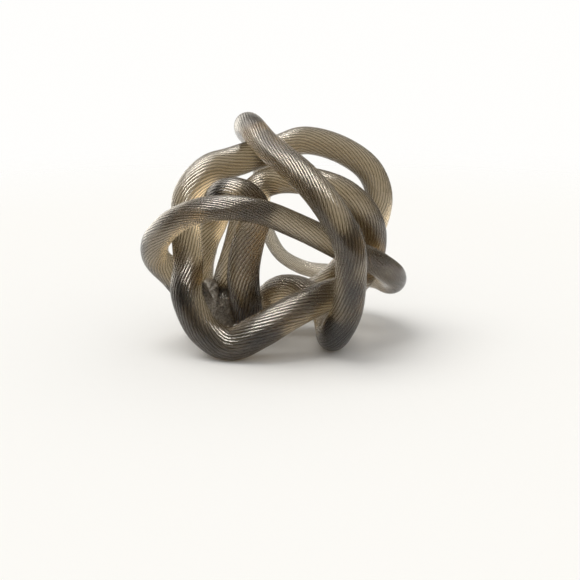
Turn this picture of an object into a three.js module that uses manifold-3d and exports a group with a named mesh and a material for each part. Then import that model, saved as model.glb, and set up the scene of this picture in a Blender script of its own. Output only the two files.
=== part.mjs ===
// Glass knot ball: one thick rope of smoky glass, ribbed and twisted, wound over and under itself
// while hot into an open ball. The rope comes round to its own start, where its two ends are fused
// in one rough join.
// Millimetres, +Z up, with the table at z = 0 and the ball's box centred over the origin.
// The ball's face looks along -Y, and X runs from its left to its right.
//
// The rope is built as the lengths between its turns and crossings. Each length is a solid that
// ends in flat faces, which butt on the faces of the lengths before and after it.
import * as THREE from "three";
import { mergeVertices } from "three/addons/utils/BufferGeometryUtils.js";
import Module from "manifold-3d";

const wasm = await Module();
wasm.setup();

// Driving dimensions, in millimetres.
const BALL_WIDTH = 148;     // across the ball as it is drawn, before its strands settle
const ROPE = 17;            // thickness of the rope over its ribs where its fullness is 1
const LEAST_BEND = 13;      // radius of the tightest bend, at the middle of the rope
const TOUCH_GAP = 0.45;     // between two strands that rest on each other
const BUTT_GAP = 0.3;       // between the end faces of two lengths
const FOOT_FLAT = 1.1;      // depth of the flats ground on the three feet
const RIBS = 18;            // round the rope
const RIB_DEPTH = 0.5;      // from a rib's crest to the valleys beside it
const TWIST_PITCH = 152;    // length of rope in which a rib goes once round, like a right-hand thread
const JOIN_REACH = 11;      // length of rope to either side of the join over which the ribs die out

// Finish of the glass.
const GLASS_COLOUR = 0x6b5b48;
const GLASS_ROUGHNESS = 0.06;

// Fineness of the facets.
const SIDES = 2 * Math.round(RIBS);   // round the rope, a crest and a valley for each rib
const RING_PITCH = 18;                // millimetres from ring to ring on a straight run
const RING_TURN = 42;                 // degrees from ring to ring in a bend

// The rope's route, one list for each length. A point gives the middle of the rope across the ball
// and away from its face, the height of its underside over the table, and its fullness.
// The rope touches the table where the height is 0: under the lower sweep, the foot bend and
// the rear base.
const ROUTE = {
  hook_foot: [[-39, -3, 4, 1.24], [-50, -6, 17, 1.06], [-61, -8, 31, 0.94]],
  left_hook: [[-67, -12, 41, 0.93], [-66, -20, 52, 0.92], [-59, -31, 63, 0.88]],
  front_arch_left: [[-47, -43, 75, 0.80], [-30, -49, 79, 0.79]],
  front_arch_right: [[-11, -50, 77, 0.79], [9, -45, 68, 0.81]],
  front_arch_end: [[28, -38, 57, 0.84], [42, -29, 47, 0.85]],
  right_tip: [[52, -18, 39, 0.86], [62, -3, 30, 0.86], [64, 12, 23, 0.84]],
  rear_sweep_right: [[59, 29, 21, 0.78], [47, 43, 20, 0.69], [32, 53, 20, 0.62]],
  rear_sweep_left: [[16, 59, 22, 0.56], [2, 61, 30, 0.51]],
  rear_rise_lower: [[-5, 59, 41, 0.51], [-11, 53, 59, 0.62]],
  rear_rise_upper: [[-10, 44, 78, 0.75], [-9, 31, 96, 0.82]],
  top_bend: [[-17, 13, 108, 0.85], [-15, -5, 112, 0.88]],
  front_bar_top: [[-3, -25, 104, 0.91], [14, -42, 91, 0.95]],
  front_bar_middle: [[28, -53, 74, 0.98], [36, -57, 57, 0.99]],
  front_bar_foot: [[37, -55, 39, 0.98], [35, -50, 21, 1.01]],
  foot_bend: [[31, -43, 9, 1.04], [29, -32, 1, 1.06], [29, -18, 0, 1.06], [27, -5, 6, 1.03]],
  base_hump: [[20, 5, 13, 1.00], [10, 10, 17, 1.00], [0, 10, 17, 1.00]],
  base_bend: [[-8, 10, 11, 1.00], [-14, 6, 5, 1.03], [-18, -2, 4, 1.06]],
  inner_column: [[-21, -11, 10, 1.06], [-22, -16, 21, 1.09], [-21, -19, 36, 1.09], [-17, -23, 55, 1.06]],
  inner_crown: [[-13, -26, 68, 1.00], [-16, -28, 78, 0.97], [-26, -27, 83, 0.97], [-35, -22, 78, 0.97]],
  inner_leg: [[-38, -8, 65, 0.97], [-43, 0, 49, 0.97]],
  rear_corner: [[-47, 11, 33, 0.97], [-47, 22, 16, 0.97]],
  rear_base: [[-40, 34, 5, 0.97], [-24, 43, 0, 0.97], [-5, 44, 0, 0.97]],
  right_rise_lower: [[13, 37, 5, 0.97], [27, 29, 15, 0.97]],
  right_rise_upper: [[39, 24, 28, 0.94], [50, 22, 43, 0.94]],
  crown_arch_right: [[57, 21, 57, 0.94], [59, 20, 72, 0.94], [53, 19, 87, 0.94]],
  crown_arch_top: [[39, 18, 98, 0.94], [19, 15, 105, 0.94]],
  crown_arch_left: [[-3, 12, 104, 0.97], [-24, 6, 99, 1.03]],
  left_shoulder: [[-40, -2, 90, 1.02], [-51, -11, 75, 0.98]],
  left_side: [[-55, -20, 58, 0.97], [-54, -27, 41, 1.00]],
  lower_sweep_left: [[-51, -35, 23, 1.03], [-42, -41, 7, 1.06], [-28, -45, 0, 1.09]],
  lower_sweep_right: [[-11, -47, 8, 1.13], [5, -44, 17, 1.09], [23, -38, 24, 1.01]],
  right_bend: [[38, -29, 28, 0.97], [47, -15, 30, 0.97], [54, -2, 34, 0.97], [57, 3, 42, 0.97]],
  right_shoulder: [[54, 1, 54, 0.97], [47, -6, 68, 0.97], [35, -11, 79, 0.97]],
  inner_arch: [[17, -8, 85, 0.94], [-2, -3, 85, 0.94], [-13, -4, 80, 0.94]],
  tail: [[-20, -5, 67, 0.94], [-25, -3, 47, 0.94], [-28, -2, 28, 1.00], [-31, -2, 10, 1.14]],
};

// The settling works on points STEP apart. Points nearer than APART along the rope belong to one
// bend and don't press on each other, and a push is shared over REACH of rope to either side.
const STEP = ROPE / 6;
const APART = 2 * ROPE;
const REACH = 1.3 * ROPE;
const ROUNDS = 300;
const SETTLED = 0.01;

const rows = Object.values(ROUTE).flat();

// The rope as it is drawn: a smooth closed curve through the route's points, cut into even steps.
function drawRope() {
  const across = rows.map(([x]) => x);
  const spread = (BALL_WIDTH - ROPE) / (Math.max(...across) - Math.min(...across));
  const points = rows.map(([x, y, under, fullness]) => {
    const height = under * spread + (fullness * ROPE) / 2 - FOOT_FLAT;
    return new THREE.Vector3(x * spread, y * spread, height);
  });
  const curve = new THREE.CatmullRomCurve3(points, true, "centripetal");
  curve.arcLengthDivisions = points.length * 12;
  const count = Math.round(curve.getLength() / STEP);
  return Array.from({ length: count }, (_, i) => {
    const t = curve.getUtoTmapping(i / count);
    const row = Math.floor(t * rows.length) % rows.length;
    const past = THREE.MathUtils.smoothstep(t * rows.length - row, 0, 1);
    const fullness = THREE.MathUtils.lerp(rows[row][3], rows[(row + 1) % rows.length][3], past);
    return { place: curve.getPoint(t), radius: (fullness * ROPE) / 2, row };
  });
}

// The point a number of steps along the closed rope.
const along = (rope, i) => rope[(i + rope.length) % rope.length];

// How far each point has to move to clear the strand that presses on it most, and the table.
function pushes(rope) {
  const skip = Math.round(APART / STEP);
  return rope.map(({ place, radius }, i) => {
    const push = new THREE.Vector3();
    let deepest = 0;
    for (let gap = skip; gap <= rope.length - skip; gap += 1) {
      const other = along(rope, i + gap);
      const overlap = radius + other.radius + TOUCH_GAP - place.distanceTo(other.place);
      if (overlap <= deepest) continue;
      deepest = overlap;
      push.subVectors(place, other.place).setLength(overlap / 2);
    }
    push.z += Math.max(radius - FOOT_FLAT - place.z, 0);
    return push;
  });
}

// How far each point has to move to open a bend that is tighter than LEAST_BEND.
function easings(rope) {
  return rope.map(({ place }, i) => {
    const before = along(rope, i - 1).place;
    const after = along(rope, i + 1).place;
    const pull = before.clone().add(after).multiplyScalar(0.5).sub(place);
    const chord = before.distanceTo(after) / 2;
    const tightness = (2 * pull.length() * LEAST_BEND) / chord ** 2;
    return pull.multiplyScalar(THREE.MathUtils.clamp(tightness - 1, 0, 1));
  });
}

// Shares pushes along the rope: a point takes the mean of the pushes near it, each weighted by its
// own size and by a bell that falls to nothing at REACH.
function share(list) {
  const reach = Math.round(REACH / STEP);
  return list.map((_, i) => {
    const mean = new THREE.Vector3();
    let weight = 0;
    let nearest = 0;
    for (let offset = -reach; offset <= reach; offset += 1) {
      const push = along(list, i + offset);
      const size = push.length();
      if (size === 0) continue;
      const bell = 0.5 + 0.5 * Math.cos((Math.PI * offset) / (reach + 1));
      mean.addScaledVector(push, bell * size);
      weight += bell * size;
      nearest = Math.max(nearest, bell);
    }
    return weight === 0 ? mean : mean.multiplyScalar(nearest / weight);
  });
}

// Settles the drawn rope: strands that press on each other part, a strand that dips into the table
// rises to its flat, and bends that are too tight open, until nothing presses.
function settle(rope) {
  for (let round = 0; round < ROUNDS; round += 1) {
    const pressed = pushes(rope);
    if (Math.max(...pressed.map((push) => push.length())) < SETTLED) break;
    const moves = share(pressed);
    rope.forEach(({ place }, i) => place.addScaledVector(moves[i], 0.5));
    const eased = easings(rope);
    rope.forEach(({ place }, i) => place.addScaledVector(eased[i], 0.5));
  }
  return rope;
}

// Centres the rope's box over the origin.
function centre(rope) {
  for (const axis of ["x", "y"]) {
    const low = Math.min(...rope.map(({ place, radius }) => place[axis] - radius));
    const high = Math.max(...rope.map(({ place, radius }) => place[axis] + radius));
    rope.forEach(({ place }) => (place[axis] -= (low + high) / 2));
  }
  return rope;
}

// The stations of the rope: its points, the first one again at the end, each with the length of rope
// up to it, the direction along it and two directions across it. These are carried from station to
// station without turning about the rope.
function frame(rope) {
  const stations = [...rope, { ...rope[0] }];
  const normal = new THREE.Vector3(0, 0, 1);
  let run = 0;
  stations.forEach((station, i) => {
    const after = along(rope, i + 1).place;
    station.tangent = after.clone().sub(along(rope, i - 1).place).normalize();
    normal.addScaledVector(station.tangent, -normal.dot(station.tangent)).normalize();
    station.normal = normal.clone();
    station.binormal = station.tangent.clone().cross(normal);
    station.run = run;
    run += station.place.distanceTo(after);
  });
  return stations;
}

// Gives each station the turn and the depth of its ribs. The whole turn is rounded so that the ribs
// at the rope's end meet those at its start.
function twist(stations) {
  const start = stations[0];
  const end = stations.at(-1);
  const rib = (4 * Math.PI) / SIDES;
  const turned = Math.atan2(end.normal.dot(start.binormal), end.normal.dot(start.normal));
  const passed = Math.round(((2 * Math.PI * end.run) / TWIST_PITCH + turned) / rib);
  stations.forEach((station) => {
    station.turn = ((passed * rib - turned) * station.run) / end.run;
    const toJoin = Math.min(station.run, end.run - station.run);
    station.depth = RIB_DEPTH * THREE.MathUtils.smoothstep(toJoin, 0, JOIN_REACH);
  });
  return stations;
}

// Picks the stations where a length has its rings: closer together where the rope bends.
function ringStations(stations, first, last) {
  const need = [0];
  for (let i = first; i < last; i += 1) {
    const a = stations[i];
    const b = stations[i + 1];
    const turn = THREE.MathUtils.radToDeg(a.tangent.angleTo(b.tangent));
    need.push(need.at(-1) + a.place.distanceTo(b.place) / RING_PITCH + turn / RING_TURN);
  }
  const count = Math.ceil(need.at(-1));
  return Array.from({ length: count + 1 }, (_, ring) => {
    const wanted = (need.at(-1) * ring) / count;
    return first + need.findIndex((sum) => sum >= wanted - 1e-9);
  });
}

// One ring of corners round the rope, crest and valley by turns, moved along it by a shift.
function ringCorners(station, shift) {
  return Array.from({ length: SIDES }, (_, side) => {
    const angle = (2 * Math.PI * side) / SIDES + station.turn;
    const reach = station.radius - (side % 2) * station.depth;
    return station.place
      .clone()
      .addScaledVector(station.tangent, shift)
      .addScaledVector(station.normal, reach * Math.cos(angle))
      .addScaledVector(station.binormal, reach * Math.sin(angle));
  });
}

// A length of the rope as a closed solid: rings of corners joined by quads, with a fan of
// triangles on each end face.
function loft(stations, first, last) {
  const picks = ringStations(stations, first, last);
  const corners = [];
  const triangles = [];
  picks.forEach((pick, ring) => {
    const shift = ring === 0 ? BUTT_GAP / 2 : ring === picks.length - 1 ? -BUTT_GAP / 2 : 0;
    corners.push(...ringCorners(stations[pick], shift));
  });
  const rings = picks.length;
  const corner = (ring, side) => ring * SIDES + (side % SIDES);
  const ends = [0, rings - 1].map((ring) => {
    const middle = new THREE.Vector3();
    for (let side = 0; side < SIDES; side += 1) middle.add(corners[corner(ring, side)]);
    return corners.push(middle.divideScalar(SIDES)) - 1;
  });
  for (let side = 0; side < SIDES; side += 1) {
    for (let ring = 0; ring < rings - 1; ring += 1) {
      const a = corner(ring, side);
      const b = corner(ring, side + 1);
      const c = corner(ring + 1, side + 1);
      const d = corner(ring + 1, side);
      triangles.push(a, b, c, a, c, d);
    }
    triangles.push(ends[0], corner(0, side + 1), corner(0, side));
    triangles.push(ends[1], corner(rings - 1, side), corner(rings - 1, side + 1));
  }
  const geometry = new THREE.BufferGeometry().setFromPoints(corners);
  return geometry.setIndex(triangles);
}

// Turns a geometry into a solid for cutting, and a solid back into a geometry.
function toSolid(geometry) {
  const bare = geometry.clone();
  bare.deleteAttribute("normal");
  bare.deleteAttribute("uv");
  const merged = mergeVertices(bare);
  const vertProperties = new Float32Array(merged.attributes.position.array);
  const triVerts = new Uint32Array(merged.index.array);
  return new wasm.Manifold(new wasm.Mesh({ numProp: 3, vertProperties, triVerts }));
}

function toGeometry(solid) {
  const { vertProperties, triVerts } = solid.getMesh();
  const geometry = new THREE.BufferGeometry();
  geometry.setAttribute("position", new THREE.BufferAttribute(vertProperties, 3));
  return geometry.setIndex(new THREE.BufferAttribute(triVerts, 1));
}

// Grinds off what a foot has below the table, which leaves its flat.
function grindFlat(geometry) {
  geometry.computeBoundingBox();
  if (geometry.boundingBox.min.z >= 0) return geometry;
  const slab = new THREE.BoxGeometry(2 * BALL_WIDTH, 2 * BALL_WIDTH, ROPE);
  slab.translate(0, 0, -ROPE / 2);
  return toGeometry(toSolid(geometry).subtract(toSolid(slab)));
}

// The least gap between two strands, measured on the rope's points.
function leastGap(rope) {
  const skip = Math.round(APART / STEP);
  let least = Infinity;
  rope.forEach(({ place, radius }, i) => {
    for (let gap = skip; gap <= rope.length - skip; gap += 1) {
      const other = along(rope, i + gap);
      least = Math.min(least, place.distanceTo(other.place) - radius - other.radius);
    }
  });
  return least;
}

const rope = centre(settle(drawRope()));
const stations = twist(frame(rope));
console.log(`least gap between strands: ${leastGap(rope).toFixed(2)} mm`);

// A length runs from its own first point to the first point of the next length.
const names = Object.keys(ROUTE);
const firstRows = names.map((name) => rows.indexOf(ROUTE[name][0]));
const starts = firstRows.map((row) => rope.findIndex((point) => point.row >= row));

const ball = new THREE.Group();
names.forEach((name, i) => {
  const last = i + 1 < names.length ? starts[i + 1] : rope.length;
  const geometry = grindFlat(loft(stations, starts[i], last));
  geometry.computeVertexNormals();
  const glass = new THREE.MeshStandardMaterial({
    color: GLASS_COLOUR,
    roughness: GLASS_ROUGHNESS,
    metalness: 0,
  });
  const length = new THREE.Mesh(geometry, glass);
  length.name = name;
  ball.add(length);
});

export default ball;
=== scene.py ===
"""The looks of a glass knot ball: one thick rope of smoky glass, ribbed and twisted, wound over and under
itself into an open ball whose two rope ends are fused in one rough join. It stands on a pale table.

Metres, +Z up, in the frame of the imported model: the table at z = 0, the ball's face towards -Y.
"""
from math import asin, atan, atan2, cos, pi, radians, sin, sqrt
from types import SimpleNamespace

import bpy
import numpy as np
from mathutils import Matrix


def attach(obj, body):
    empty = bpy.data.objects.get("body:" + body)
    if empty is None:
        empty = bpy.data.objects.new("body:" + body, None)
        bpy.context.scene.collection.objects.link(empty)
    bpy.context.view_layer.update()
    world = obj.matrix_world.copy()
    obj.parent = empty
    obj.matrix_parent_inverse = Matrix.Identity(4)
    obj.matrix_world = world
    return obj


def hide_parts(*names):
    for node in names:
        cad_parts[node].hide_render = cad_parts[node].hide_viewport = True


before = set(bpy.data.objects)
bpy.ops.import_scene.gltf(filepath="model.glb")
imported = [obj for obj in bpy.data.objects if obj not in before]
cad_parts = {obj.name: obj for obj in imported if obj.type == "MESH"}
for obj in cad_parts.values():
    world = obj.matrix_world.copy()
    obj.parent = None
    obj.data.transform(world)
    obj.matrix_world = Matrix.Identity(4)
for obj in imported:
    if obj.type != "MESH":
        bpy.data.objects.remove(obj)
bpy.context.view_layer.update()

# The rope, in metres.
BALL_WIDTH = 0.148          # across the ball as it is drawn, before its strands settle
ROPE = 0.017                # thickness of the rope over its ribs where its fullness is 1
LEAST_BEND = 0.013          # radius of the tightest bend, at the middle of the rope
TOUCH_GAP = 0.00045         # between two strands that rest on each other
FOOT_FLAT = 0.0011          # depth of the flats ground on the three feet

# The ribs, which run along the rope and turn about it like a right-hand thread.
RIBS = 28                   # round the rope
RIB_DEPTH = 0.00022         # from a rib's crest to the valleys beside it
RIB_BOW = 0.95              # half the width of a rib's arc over the arc's radius: 1 is a half round
TWIST_PITCH = 0.152         # length of rope in which a rib goes once round

# The mesh of the rope.
RIB_COLUMNS = 5             # columns of vertices across one rib
RINGS = 710                 # rings of vertices along the rope
JOIN_RINGS = 3              # rings added at the join for each one elsewhere
JOIN_SHARE = 0.025          # share of the loop on either side of the join that has more rings
RING_STEPS = 4              # steps for each ring in which the loop's rings are counted

# The glass.
GLASS_ABSORBS = (60, 74, 102)   # light taken up per metre in red, green and blue
GLASS_IOR = 1.5
GLASS_ROUGH = 0.25          # the fine waves of the drawn glass, too small to model
POLISH = 0.5                # weight of the clear fire polished skin over it
CLEAR = (1.0, 1.0, 1.0, 1.0)
GROOVE_PAINTED_SHADE = (0.02, 0.016, 0.012, 1.0)   # painted shade: the dark colour given to the grooves between the ribs
GROOVE_SHADE_FALL = 3             # power by which the painted shade of a groove falls off up the ribs beside it

# The rough join of the rope's two ends.
JOIN_REACH = 0.02           # length of rough rope to either side of the join
JOIN_SWELL = 0.0066         # by which the rope's radius grows there
JOIN_LUMPS = 0.0011         # height of the lumps
LUMP_SIZE = 0.004           # from lump to lump
LUMP_BEND = (1.7, 1.3, 1.5)    # how far each wave of lumps is bent by the next, in radians
LUMP_PACE = (0.6, 0.7, 0.8)    # how fast that bending goes back and forth, as a share of the lumps' pace
JOIN_COVER = 0.85           # share of the glass that the matt skin of the join hides
COVER_FROM = 0.05           # where that skin begins and is full, as the ease of the join
COVER_TO = 0.5
JOIN_ROUGH = 0.45           # of the skin
JOIN_PALE = (0.48, 0.425, 0.35, 1.0)
JOIN_DARK = (0.2, 0.175, 0.145, 1.0)
SPECK_FROM = 0.4            # grain at which the skin is dark and at which it is pale
SPECK_TO = 0.6
GRAIN_SCALE = 1100.0        # grains in a metre, about
GRAIN_DETAIL = 3.0          # finer layers of grain
GRAIN_FINER = 0.6           # strength of each layer, as a share of the one before
GRAIN_HEIGHT = 0.0008
GROUND_ROUGH = 0.45         # added on the flats ground under the feet

# The room: how bright each side of it is where the glass mirrors it or lets it through. White is 1.
# Each FROM and TO is where a side begins and where it is full, as one part of the direction.
FRONT = 0.11                # on the side of the ball's face
WALL = 0.78                 # behind the ball
BEHIND_FROM = -0.2          # Y
BEHIND_TO = 0.5
LEFT_MORE = 4.2             # more than the wall, in the window on the left
LEFT_FROM = -0.25           # X
LEFT_TO = -0.5
PANE_HIDDEN = 0.4           # share of that window that gloss leaves out
RIGHT_LESS = 0.5            # less than the wall, on the right
RIGHT_FROM = 0.05           # X
RIGHT_TO = 0.6
CEILING = 0.75
CEILING_FROM = 0.3          # Z
CEILING_TO = 0.8
GLINT = 16.0                # brightness of the small lamp that gloss shows
GLINT_DIRECTION = (-0.3, -0.35, 0.89)
GLINT_FROM = 0.92           # cosine of the angle from the lamp's middle
GLINT_TO = 0.97
DAYLIGHT = (1.0, 0.995, 0.98, 1.0)    # colour of the background and of the even light
ROOM_TONE = (1.0, 0.94, 0.84, 1.0)    # colour of the room in the glass
FILL = 0.62                 # the even light on matt things
WINDOW_ENERGY = 1.5
WINDOW_TONE = (1.0, 0.98, 0.94)
WINDOW_WIDTH = 45           # degrees that the window spans
WINDOW_TILT = (-3, -23)     # degrees about X and Y, from straight above
TABLE = (0.93, 0.925, 0.91, 1.0)
TABLE_HALF = 1.0            # half the side of the square that is the table
TABLE_TOP = -0.0002         # just under the feet
FADE_FROM = 0.35            # distance from the middle at which the table begins to fade and is gone
FADE_TO = 0.9
BOUNCES = 32                # that light may make in the glass

# The settling of the drawn rope.
ROUTE_STEPS = 12            # steps for each point of the route in which the drawn loop is measured
STEP = ROPE / 6             # between the points that settle
APART = 2 * ROPE            # nearer points along the rope belong to one bend and don't press
REACH = 1.3 * ROPE          # rope to either side that shares a push
PUSH_SHARE = 0.5            # of what is asked of a point that it moves in one round
ROUNDS = 300
SETTLED = 0.00001           # the settling ends when no push is longer

# The view: a point in the ball, where it lies in the picture, and where the camera stands from it.
PICTURE = 580               # pixels across the picture, which is square
AIM = (-0.003, 0.00205, 0.058)
AIM_PIXEL = (271, 237)
VIEW_DISTANCE = 0.6
VIEW_RISE = radians(12)
PIXEL_SIZE = 0.00058        # metres that one pixel spans at the aim point
NEAREST_SEEN = 0.01

# The route of the rope, one list for each length, in metres. A point gives the middle of the rope
# across the ball and away from its face, the height of its underside over the table, and its fullness.
ROUTE = {
    "hook_foot": [(-0.039, -0.003, 0.004, 1.24), (-0.05, -0.006, 0.017, 1.06),
        (-0.061, -0.008, 0.031, 0.94)],
    "left_hook": [(-0.067, -0.012, 0.041, 0.93), (-0.066, -0.02, 0.052, 0.92),
        (-0.059, -0.031, 0.063, 0.88)],
    "front_arch_left": [(-0.047, -0.043, 0.075, 0.8), (-0.03, -0.049, 0.079, 0.79)],
    "front_arch_right": [(-0.011, -0.05, 0.077, 0.79), (0.009, -0.045, 0.068, 0.81)],
    "front_arch_end": [(0.028, -0.038, 0.057, 0.84), (0.042, -0.029, 0.047, 0.85)],
    "right_tip": [(0.052, -0.018, 0.039, 0.86), (0.062, -0.003, 0.03, 0.86),
        (0.064, 0.012, 0.023, 0.84)],
    "rear_sweep_right": [(0.059, 0.029, 0.021, 0.78), (0.047, 0.043, 0.02, 0.69),
        (0.032, 0.053, 0.02, 0.62)],
    "rear_sweep_left": [(0.016, 0.059, 0.022, 0.56), (0.002, 0.061, 0.03, 0.51)],
    "rear_rise_lower": [(-0.005, 0.059, 0.041, 0.51), (-0.011, 0.053, 0.059, 0.62)],
    "rear_rise_upper": [(-0.01, 0.044, 0.078, 0.75), (-0.009, 0.031, 0.096, 0.82)],
    "top_bend": [(-0.017, 0.013, 0.108, 0.85), (-0.015, -0.005, 0.112, 0.88)],
    "front_bar_top": [(-0.003, -0.025, 0.104, 0.91), (0.014, -0.042, 0.091, 0.95)],
    "front_bar_middle": [(0.028, -0.053, 0.074, 0.98), (0.036, -0.057, 0.057, 0.99)],
    "front_bar_foot": [(0.037, -0.055, 0.039, 0.98), (0.035, -0.05, 0.021, 1.01)],
    "foot_bend": [(0.031, -0.043, 0.009, 1.04), (0.029, -0.032, 0.001, 1.06), (0.029, -0.018, 0, 1.06),
        (0.027, -0.005, 0.006, 1.03)],
    "base_hump": [(0.02, 0.005, 0.013, 1), (0.01, 0.01, 0.017, 1), (0, 0.01, 0.017, 1)],
    "base_bend": [(-0.008, 0.01, 0.011, 1), (-0.014, 0.006, 0.005, 1.03),
        (-0.018, -0.002, 0.004, 1.06)],
    "inner_column": [(-0.021, -0.011, 0.01, 1.06), (-0.022, -0.016, 0.021, 1.09),
        (-0.021, -0.019, 0.036, 1.09), (-0.017, -0.023, 0.055, 1.06)],
    "inner_crown": [(-0.013, -0.026, 0.068, 1), (-0.016, -0.028, 0.078, 0.97),
        (-0.026, -0.027, 0.083, 0.97), (-0.035, -0.022, 0.078, 0.97)],
    "inner_leg": [(-0.038, -0.008, 0.065, 0.97), (-0.043, 0, 0.049, 0.97)],
    "rear_corner": [(-0.047, 0.011, 0.033, 0.97), (-0.047, 0.022, 0.016, 0.97)],
    "rear_base": [(-0.04, 0.034, 0.005, 0.97), (-0.024, 0.043, 0, 0.97), (-0.005, 0.044, 0, 0.97)],
    "right_rise_lower": [(0.013, 0.037, 0.005, 0.97), (0.027, 0.029, 0.015, 0.97)],
    "right_rise_upper": [(0.039, 0.024, 0.028, 0.94), (0.05, 0.022, 0.043, 0.94)],
    "crown_arch_right": [(0.057, 0.021, 0.057, 0.94), (0.059, 0.02, 0.072, 0.94),
        (0.053, 0.019, 0.087, 0.94)],
    "crown_arch_top": [(0.039, 0.018, 0.098, 0.94), (0.019, 0.015, 0.105, 0.94)],
    "crown_arch_left": [(-0.003, 0.012, 0.104, 0.97), (-0.024, 0.006, 0.099, 1.03)],
    "left_shoulder": [(-0.04, -0.002, 0.09, 1.02), (-0.051, -0.011, 0.075, 0.98)],
    "left_side": [(-0.055, -0.02, 0.058, 0.97), (-0.054, -0.027, 0.041, 1)],
    "lower_sweep_left": [(-0.051, -0.035, 0.023, 1.03), (-0.042, -0.041, 0.007, 1.06),
        (-0.028, -0.045, 0, 1.09)],
    "lower_sweep_right": [(-0.011, -0.047, 0.008, 1.13), (0.005, -0.044, 0.017, 1.09),
        (0.023, -0.038, 0.024, 1.01)],
    "right_bend": [(0.038, -0.029, 0.028, 0.97), (0.047, -0.015, 0.03, 0.97),
        (0.054, -0.002, 0.034, 0.97), (0.057, 0.003, 0.042, 0.97)],
    "right_shoulder": [(0.054, 0.001, 0.054, 0.97), (0.047, -0.006, 0.068, 0.97),
        (0.035, -0.011, 0.079, 0.97)],
    "inner_arch": [(0.017, -0.008, 0.085, 0.94), (-0.002, -0.003, 0.085, 0.94),
        (-0.013, -0.004, 0.08, 0.94)],
    "tail": [(-0.02, -0.005, 0.067, 0.94), (-0.025, -0.003, 0.047, 0.94), (-0.028, -0.002, 0.028, 1),
        (-0.031, -0.002, 0.01, 1.14)],
}
ROWS = np.array([row for length in ROUTE.values() for row in length])


def smooth(share):
    """A share from 0 to 1 eased at both ends: three times its square less twice its cube."""
    share = np.clip(share, 0, 1)
    return share * share * (3 - 2 * share)


def lengths(vectors):
    """The length of each row of an array of vectors, kept as a column."""
    return np.linalg.norm(vectors, axis=-1, keepdims=True)


def loop_through(points, t):
    """A smooth closed curve through the points, at shares t of the way from point to point round the loop.

    Each span is a cubic whose slopes at its two ends come from the points before and after it, with
    knots that are the square root of the distance from point to point (a centripetal Catmull-Rom loop).
    """
    before, after, later = (np.roll(points, shift, axis=0) for shift in (1, -1, -2))
    knot = np.sqrt(lengths(after - points))
    knot_before, knot_after = np.roll(knot, 1, axis=0), np.roll(knot, -1, axis=0)
    leaving = knot * ((points - before) / knot_before
                      - (after - before) / (knot_before + knot)
                      + (after - points) / knot)
    arriving = knot * ((after - points) / knot
                       - (later - points) / (knot + knot_after)
                       + (later - after) / knot_after)
    whole = np.floor(t * len(points))
    u = (t * len(points) - whole)[:, None]
    span = whole.astype(int) % len(points)
    start, end, leave, arrive = points[span], after[span], leaving[span], arriving[span]
    bend = 3 * (end - start) - 2 * leave - arrive
    twist = 2 * (start - end) + leave + arrive
    return start + u * leave + u**2 * bend + u**3 * twist


def drawn_rope():
    """The rope as it is drawn: the places and radii of points STEP apart on the loop through the route.

    The route is spread until the ball is BALL_WIDTH wide. The middle of the rope is as high as its underside
    plus its radius, less the depth of the ground flats. Its fullness eases from point to point.
    """
    across = ROWS[:, 0]
    spread = (BALL_WIDTH - ROPE) / (across.max() - across.min())
    heights = ROWS[:, 2] * spread + ROWS[:, 3] * ROPE / 2 - FOOT_FLAT
    points = np.column_stack([ROWS[:, :2] * spread, heights])
    fine = np.linspace(0, 1, ROUTE_STEPS * len(ROWS) + 1)
    steps = lengths(np.diff(loop_through(points, fine), axis=0)).ravel()
    travelled = np.concatenate([[0], np.cumsum(steps)])
    count = round(travelled[-1] / STEP)
    t = np.interp(travelled[-1] * np.arange(count) / count, travelled, fine)
    row = np.floor(t * len(ROWS)).astype(int)
    past = smooth(t * len(ROWS) - row)
    fullness = ROWS[row, 3] * (1 - past) + ROWS[(row + 1) % len(ROWS), 3] * past
    return loop_through(points, t), fullness * ROPE / 2


def pushes(place, radius):
    """How far each point has to move to clear the strand that presses on it most, and the table.

    Two points press by the sum of their radii and the touch gap, less their distance. Each moves half. A low
    point rises until no more of the rope than the depth of the ground flats is under the table.
    """
    count = len(place)
    index = np.arange(count)
    steps = (index[None, :] - index[:, None]) % count
    skip = round(APART / STEP)
    apart = (steps >= skip) & (steps <= count - skip)
    away = place[:, None, :] - place[None, :, :]
    distance = np.linalg.norm(away, axis=2)
    overlap = np.where(apart, radius[:, None] + radius[None, :] + TOUCH_GAP - distance, 0)
    worst = overlap.argmax(axis=1)
    deepest = overlap[index, worst].clip(0)
    nearest = np.where(deepest > 0, distance[index, worst], 1)
    push = away[index, worst] * (deepest / nearest / 2)[:, None]
    push[:, 2] += np.clip(radius - FOOT_FLAT - place[:, 2], 0, None)
    return push


def shared(push):
    """Pushes shared along the rope: the mean of the pushes near a point, each weighted by its own size
    and by a bell that falls to nothing at REACH, times the bell of the nearest push."""
    reach = round(REACH / STEP)
    size = lengths(push)
    total, weight, nearest = np.zeros_like(push), np.zeros_like(size), np.zeros_like(size)
    for offset in range(-reach, reach + 1):
        bell = 0.5 + 0.5 * cos(pi * offset / (reach + 1))
        moved, large = np.roll(push, -offset, axis=0), np.roll(size, -offset, axis=0)
        total += bell * large * moved
        weight += bell * large
        nearest = np.maximum(nearest, np.where(large > 0, bell, 0))
    return np.where(weight > 0, total * nearest / np.where(weight > 0, weight, 1), 0)


def easings(place):
    """How far each point has to move to open a bend tighter than LEAST_BEND: towards the middle of its
    neighbours, by the share that the bend is too tight. A bend's radius is the square of half its chord over
    twice its depth."""
    before, after = np.roll(place, 1, axis=0), np.roll(place, -1, axis=0)
    pull = (before + after) / 2 - place
    chord = lengths(after - before) / 2
    tightness = 2 * lengths(pull) * LEAST_BEND / chord**2
    return pull * np.clip(tightness - 1, 0, 1)


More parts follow.
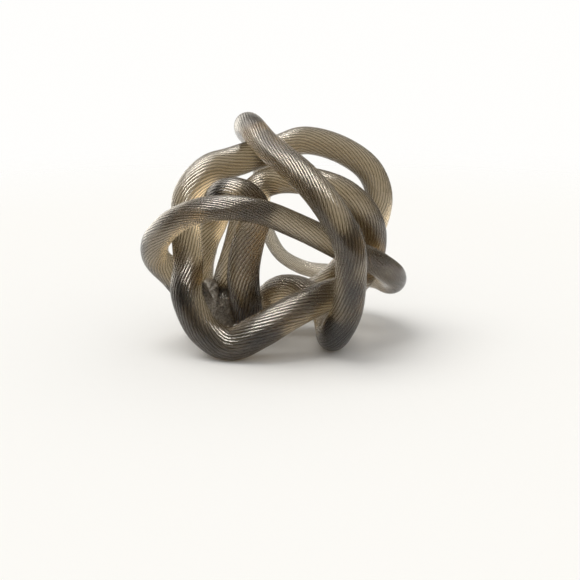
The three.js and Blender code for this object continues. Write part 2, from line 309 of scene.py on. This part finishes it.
def settled_rope():
    """The drawn rope after its strands have parted, risen off the table and opened their tight bends,
    with its box centred over the origin."""
    place, radius = drawn_rope()
    for _ in range(ROUNDS):
        push = pushes(place, radius)
        if lengths(push).max() < SETTLED:
            break
        place = place + PUSH_SHARE * shared(push)
        place = place + PUSH_SHARE * easings(place)
    low = (place - radius[:, None]).min(axis=0)
    high = (place + radius[:, None]).max(axis=0)
    middle = (low + high) / 2
    return place - middle * (1, 1, 0), radius


def carried_normals(tangent):
    """Directions across a closed curve, carried from point to point without turning about it: each is the
    one before it less its share along the curve. The last entry is the first point's, reached again."""
    normal = np.array([0.0, 0.0, 1.0])
    found = []
    for along in [*tangent, tangent[0]]:
        normal = normal - along * (normal @ along)
        normal = normal / np.linalg.norm(normal)
        found.append(normal)
    return np.array(found)


def rings_along(rope, count):
    """Rings of the rope, closer together near the join: their middles and radii, the run of rope up to each,
    two directions across each, and the angle by which these come back turned to the first ring.

    Along the loop the rings' number per length is 1 plus JOIN_RINGS times an ease that falls to nothing
    JOIN_SHARE of the loop away from the join, and the rings lie at equal steps of its sum.
    """
    settled, radii = rope
    fine = np.linspace(0, 1, RING_STEPS * count + 1)
    density = 1 + JOIN_RINGS * smooth(1 - np.minimum(fine, 1 - fine) / JOIN_SHARE)
    rings_so_far = np.cumsum(density) - density[0]
    share = np.interp(rings_so_far[-1] * np.arange(count) / count, rings_so_far, fine)
    spots = np.arange(len(settled) + 1)
    place = loop_through(settled, share)
    radius = np.interp(share * len(settled), spots, np.append(radii, radii[0]))
    tangent = np.roll(place, -1, axis=0) - np.roll(place, 1, axis=0)
    tangent = tangent / lengths(tangent)
    normals = carried_normals(tangent)
    normal, back = normals[:-1], normals[-1]
    binormal = np.cross(tangent, normal)
    turned = atan2(back @ binormal[0], back @ normal[0])
    step = lengths(np.roll(place, -1, axis=0) - place).ravel()
    run = np.cumsum(step) - step
    return SimpleNamespace(place=place, radius=radius, run=run, whole=step.sum(),
                           normal=normal, binormal=binormal, turned=turned)


def outward(rings, angle):
    """Directions out of the rope: each angle's cosine along the normal plus its sine along the binormal."""
    return (np.cos(angle)[..., None] * rings.normal[:, None, :]
            + np.sin(angle)[..., None] * rings.binormal[:, None, :])


def tube_faces(count, columns, shift):
    """Corner numbers of the quads of a closed tube of rings, whose last ring meets the first one with its
    columns shifted."""
    ring, side = np.meshgrid(np.arange(count), np.arange(columns), indexing="ij")
    shift = np.where(ring + 1 == count, shift, 0)
    here = ring * columns
    ahead = (ring + 1) % count * columns
    corners = [here + side, here + (side + 1) % columns,
               ahead + (side + 1 + shift) % columns, ahead + (side + shift) % columns]
    return np.stack(corners, axis=-1).reshape(-1, 4)


def lumps(points):
    """Rough lumps from -1 to 1: the mean of three crossed waves of the place. The phase of each is bent by
    the sine of the next one's phase times its pace."""
    phase = 2 * pi * points / LUMP_SIZE
    following = np.roll(phase, -1, axis=-1)
    return np.sin(phase + LUMP_BEND * np.sin(LUMP_PACE * following)).mean(axis=-1)


def new_piece(name, points, faces, material):
    """A smooth mesh object at the origin from arrays of points and of faces' corner numbers."""
    mesh = bpy.data.meshes.new(name)
    mesh.from_pydata(points.reshape(-1, 3).tolist(), [], faces.tolist())
    mesh.shade_smooth()
    mesh.materials.append(material)
    piece = bpy.data.objects.new(name, mesh)
    bpy.context.scene.collection.objects.link(piece)
    return piece


def set_mask(piece, name, values):
    """Gives a piece's vertices a number each, which its material reads by name."""
    mask = piece.data.attributes.new(name, "FLOAT", "POINT")
    mask.data.foreach_set("value", values.astype(np.float32).ravel())


def glass_rope(rope, material):
    """The skin of the rope: a ring of columns carried along the settled loop.

    A vertex's angle is its column's, turned by the twist so far. Its distance from the middle is the rope's
    radius less its depth below the crest of its rib, whose section is an arc of a circle: the square root
    of 1 less the square of RIB_BOW times the place across it, stretched to the depth of a rib. The whole
    twist is rounded so that the ribs of the last ring run on into those of the first. The valleys between
    the ribs are sharp. At the join the ribs die out and the rope swells and turns lumpy. What would be under
    the table is ground flat.
    """
    rings = rings_along(rope, RINGS)
    columns = RIBS * RIB_COLUMNS
    rib_angle = 2 * pi / RIBS
    ribs_passed = round((2 * pi * rings.whole / TWIST_PITCH + rings.turned) / rib_angle)
    twist = (ribs_passed * rib_angle - rings.turned) * rings.run / rings.whole
    column = 2 * pi * np.arange(columns) / columns
    out = outward(rings, column[None, :] + twist[:, None])

    to_join = np.minimum(rings.run, rings.whole - rings.run)
    join = smooth(1 - to_join / JOIN_REACH)
    across = RIBS * column / pi % 2 - 1
    valley = sqrt(1 - RIB_BOW**2)
    crest = (np.sqrt(1 - (RIB_BOW * across)**2) - valley) / (1 - valley)
    depth = RIB_DEPTH * (1 - join)
    swell = JOIN_SWELL * join[:, None]
    distance = rings.radius[:, None] + swell - depth[:, None] * (1 - crest[None, :])
    points = rings.place[:, None, :] + distance[..., None] * out
    points = points + (JOIN_LUMPS * join[:, None] * lumps(points))[..., None] * out
    ground = points[..., 2] < 0
    points[..., 2] = points[..., 2].clip(0)

    faces = tube_faces(RINGS, columns, ribs_passed * RIB_COLUMNS)
    piece = new_piece("glass_rope", points, faces, material)
    set_mask(piece, "join", np.broadcast_to(join[:, None], ground.shape))
    set_mask(piece, "ground", ground)
    # painted shade: a mask that is darkest in each valley between the ribs, falls off up the ribs and is
    # gone at the join
    set_mask(piece, "groove_shade", (1 - join[:, None]) * np.abs(across[None, :])**GROOVE_SHADE_FALL)
    ends = np.empty(2 * len(piece.data.edges), np.int32)
    piece.data.edges.foreach_get("vertices", ends)
    in_valley = (ends.reshape(-1, 2) % columns % RIB_COLUMNS == 0).all(axis=1)
    piece.data.edges.foreach_set("use_edge_sharp", in_valley)
    return piece


class Wire:
    """A value in a shader: an output socket, with Python's operators adding the Math nodes."""

    def __init__(self, tree, socket=None):
        self.tree = tree
        self.socket = socket

    def add(self, kind, settings=None, inputs=None, output=0):
        """Adds a node of a kind, sets its settings, fills or links its inputs and gives one output."""
        node = self.tree.nodes.new(kind)
        for name, value in (settings or {}).items():
            setattr(node, name, value)
        for name, value in (inputs or {}).items():
            if isinstance(value, Wire):
                self.tree.links.new(value.socket, node.inputs[name])
            else:
                node.inputs[name].default_value = value
        return Wire(self.tree, node.outputs[output] if node.outputs else None)

    def other(self, output):
        """Another output of the same node."""
        return Wire(self.tree, self.socket.node.outputs[output])

    def ramp(self, start, end):
        """A smooth step from 0 where the value is start to 1 where it is end."""
        return self.add("ShaderNodeMapRange", {"interpolation_type": "SMOOTHSTEP"},
                        {"Value": self, "From Min": start, "From Max": end})

    def blend(self, first, second):
        """A colour that goes from the first to the second as the value goes from 0 to 1."""
        return self.add("ShaderNodeMix", {"data_type": "RGBA"}, {0: self, 6: first, 7: second}, 2)

    def math(self, operation, first, second):
        return self.add("ShaderNodeMath", {"operation": operation}, {0: first, 1: second})

    def __add__(self, other):
        return self.math("ADD", self, other)

    def __sub__(self, other):
        return self.math("SUBTRACT", self, other)

    def __mul__(self, other):
        return self.math("MULTIPLY", self, other)

    def __radd__(self, other):
        return self.math("ADD", other, self)

    def __rsub__(self, other):
        return self.math("SUBTRACT", other, self)

    def __rmul__(self, other):
        return self.math("MULTIPLY", other, self)

    def most(self, other):
        return self.math("MAXIMUM", self, other)


def new_tree(owner):
    """The emptied node tree of a material or world, as a Wire to add nodes to."""
    owner.use_nodes = True
    owner.node_tree.nodes.clear()
    return Wire(owner.node_tree)


def absorbing(start, absorbs):
    """A volume that takes up light by so much per metre in red, green and blue: the density times one less
    the colour."""
    density = sum(absorbs)
    colour = [1 - part / density for part in absorbs]
    return start.add("ShaderNodeVolumeAbsorption", None,
                     {"Color": (*colour, 1.0), "Density": density}, "Volume")


def smoky_glass():
    """Smoky brown glass, fire polished, with painted shade darkening the grooves between its ribs, and
    ground matt under the feet. At the join a matt skin with specks and grain hides most of it."""
    material = bpy.data.materials.new("smoky_glass")
    start = new_tree(material)
    here = start.add("ShaderNodeTexCoord", output="Object")
    join, ground, groove_shade = (start.add("ShaderNodeAttribute", {"attribute_name": name}, output="Fac")
                            for name in ("join", "ground", "groove_shade"))
    grain = start.add("ShaderNodeTexNoise", None,
                      {"Vector": here, "Scale": GRAIN_SCALE, "Detail": GRAIN_DETAIL,
                       "Roughness": GRAIN_FINER}, "Fac")
    bumps = start.add("ShaderNodeBump", None,
                      {"Strength": 1.0, "Distance": GRAIN_HEIGHT, "Height": grain * join}, "Normal")
    # painted shade: the glass's colour goes dark in the grooves between the ribs
    rib_colour_with_painted_shade = groove_shade.blend(CLEAR, GROOVE_PAINTED_SHADE)
    speckled = grain.ramp(SPECK_FROM, SPECK_TO).blend(JOIN_DARK, JOIN_PALE)
    glass = start.add("ShaderNodeBsdfPrincipled", None, {
        "Base Color": rib_colour_with_painted_shade,
        "Roughness": GLASS_ROUGH + GROUND_ROUGH * ground,
        "IOR": GLASS_IOR,
        "Transmission Weight": 1.0,
        "Coat Weight": POLISH * (1 - join),
        "Coat Roughness": 0.0,
        "Coat IOR": GLASS_IOR,
        "Normal": bumps}, "BSDF")
    skin = start.add("ShaderNodeBsdfPrincipled", None,
                     {"Base Color": speckled, "Roughness": JOIN_ROUGH, "Normal": bumps}, "BSDF")
    surface = start.add("ShaderNodeMixShader", None,
                        {0: JOIN_COVER * join.ramp(COVER_FROM, COVER_TO), 1: glass, 2: skin})
    smoke = absorbing(start, GLASS_ABSORBS)
    start.add("ShaderNodeOutputMaterial", None, {"Surface": surface, "Volume": smoke})
    return material


def pale_table():
    """A matt pale table that fades into the background away from the ball."""
    material = bpy.data.materials.new("pale_table")
    start = new_tree(material)
    here = start.add("ShaderNodeTexCoord", output="Object")
    out = start.add("ShaderNodeVectorMath", {"operation": "LENGTH"}, {0: here}, "Value")
    matt = start.add("ShaderNodeBsdfDiffuse", None, {"Color": TABLE}, "BSDF")
    clear = start.add("ShaderNodeBsdfTransparent", output="BSDF")
    floor = start.add("ShaderNodeMixShader", None, {0: out.ramp(FADE_FROM, FADE_TO), 1: matt, 2: clear})
    start.add("ShaderNodeOutputMaterial", None, {"Surface": floor})
    return material


def table_top():
    """A flat square under the ball."""
    corners = [(-1, -1), (1, -1), (1, 1), (-1, 1)]
    points = np.array([(TABLE_HALF * x, TABLE_HALF * y, TABLE_TOP) for x, y in corners])
    floor = new_piece("table_top", points, np.array([[0, 1, 2, 3]]), pale_table())


def studio_light():
    """White behind the ball for the eye, a room with a window on the left for what the glass mirrors and
    lets through, an even fill for matt things, and the light of the window, from high on the left."""
    scene = bpy.context.scene
    scene.world = bpy.data.worlds.new("studio")
    start = new_tree(scene.world)
    straight = start.add("ShaderNodeLightPath", output="Is Camera Ray")
    through = straight.other("Is Transmission Ray")
    in_glass = straight.other("Is Glossy Ray").most(through)
    mirrored = in_glass * (1 - through)
    towards = start.add("ShaderNodeTexCoord", output="Generated")
    x = start.add("ShaderNodeSeparateXYZ", None, {0: towards}, "X")
    behind = x.other("Y").ramp(BEHIND_FROM, BEHIND_TO)
    overhead = x.other("Z").ramp(CEILING_FROM, CEILING_TO)
    pane = LEFT_MORE * x.ramp(LEFT_FROM, LEFT_TO) * (1 - PANE_HIDDEN * mirrored)
    wall = WALL + pane - RIGHT_LESS * x.ramp(RIGHT_FROM, RIGHT_TO)
    room = (wall * behind + FRONT * (1 - behind)) * (1 - overhead) + CEILING * overhead
    lamp = start.add("ShaderNodeVectorMath", {"operation": "DOT_PRODUCT"},
                     {0: towards, 1: GLINT_DIRECTION}, "Value").ramp(GLINT_FROM, GLINT_TO)
    room = room + GLINT * mirrored * lamp
    unseen = in_glass * room + (1 - in_glass) * FILL
    level = straight + (1 - straight) * unseen
    tone = (in_glass * (1 - straight)).blend(DAYLIGHT, ROOM_TONE)
    sky = start.add("ShaderNodeBackground", None, {"Color": tone, "Strength": level})
    start.add("ShaderNodeOutputWorld", None, {"Surface": sky})

    window = bpy.data.lights.new("window", "SUN")
    window.energy = WINDOW_ENERGY
    window.color = WINDOW_TONE
    window.angle = radians(WINDOW_WIDTH)
    hung = bpy.data.objects.new("window", window)
    hung.rotation_euler = (radians(WINDOW_TILT[0]), radians(WINDOW_TILT[1]), 0)
    scene.collection.objects.link(hung)


def photo_camera():
    """The camera: VIEW_DISTANCE from the aim point and VIEW_RISE above it, turned without roll until the aim
    point lies at its pixel. With a and b the pixel's offsets right and up over the focal length, the pitch p
    solves b cos p + sin p = -sqrt(1 + a^2 + b^2) sin(rise), and the heading is the angle whose tangent is
    a / (cos p - b sin p), turned back."""
    focal = VIEW_DISTANCE / PIXEL_SIZE
    right = (AIM_PIXEL[0] - PICTURE / 2) / focal
    up = (PICTURE / 2 - AIM_PIXEL[1]) / focal
    slant = sqrt(1 + right**2 + up**2)
    pitch = asin(-slant * sin(VIEW_RISE) / sqrt(1 + up**2)) - atan(up)
    heading = atan2(right, cos(pitch) - up * sin(pitch))
    lens = bpy.data.cameras.new("photo_view")
    lens.lens = lens.sensor_width * focal / PICTURE
    lens.clip_start = NEAREST_SEEN
    camera = bpy.data.objects.new("photo_view", lens)
    camera.location = np.array(AIM) + VIEW_DISTANCE * np.array([0, -cos(VIEW_RISE), sin(VIEW_RISE)])
    camera.rotation_euler = (pi / 2 + pitch, 0, heading)
    bpy.context.scene.collection.objects.link(camera)
    bpy.context.scene.camera = camera


photo_camera()
rope = settled_rope()
skin = glass_rope(rope, smoky_glass())
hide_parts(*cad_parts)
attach(skin, "root")
table_top()
studio_light()

scene = bpy.context.scene
scene.view_settings.view_transform = "Standard"
scene.cycles.max_bounces = BOUNCES
scene.cycles.transmission_bounces = BOUNCES
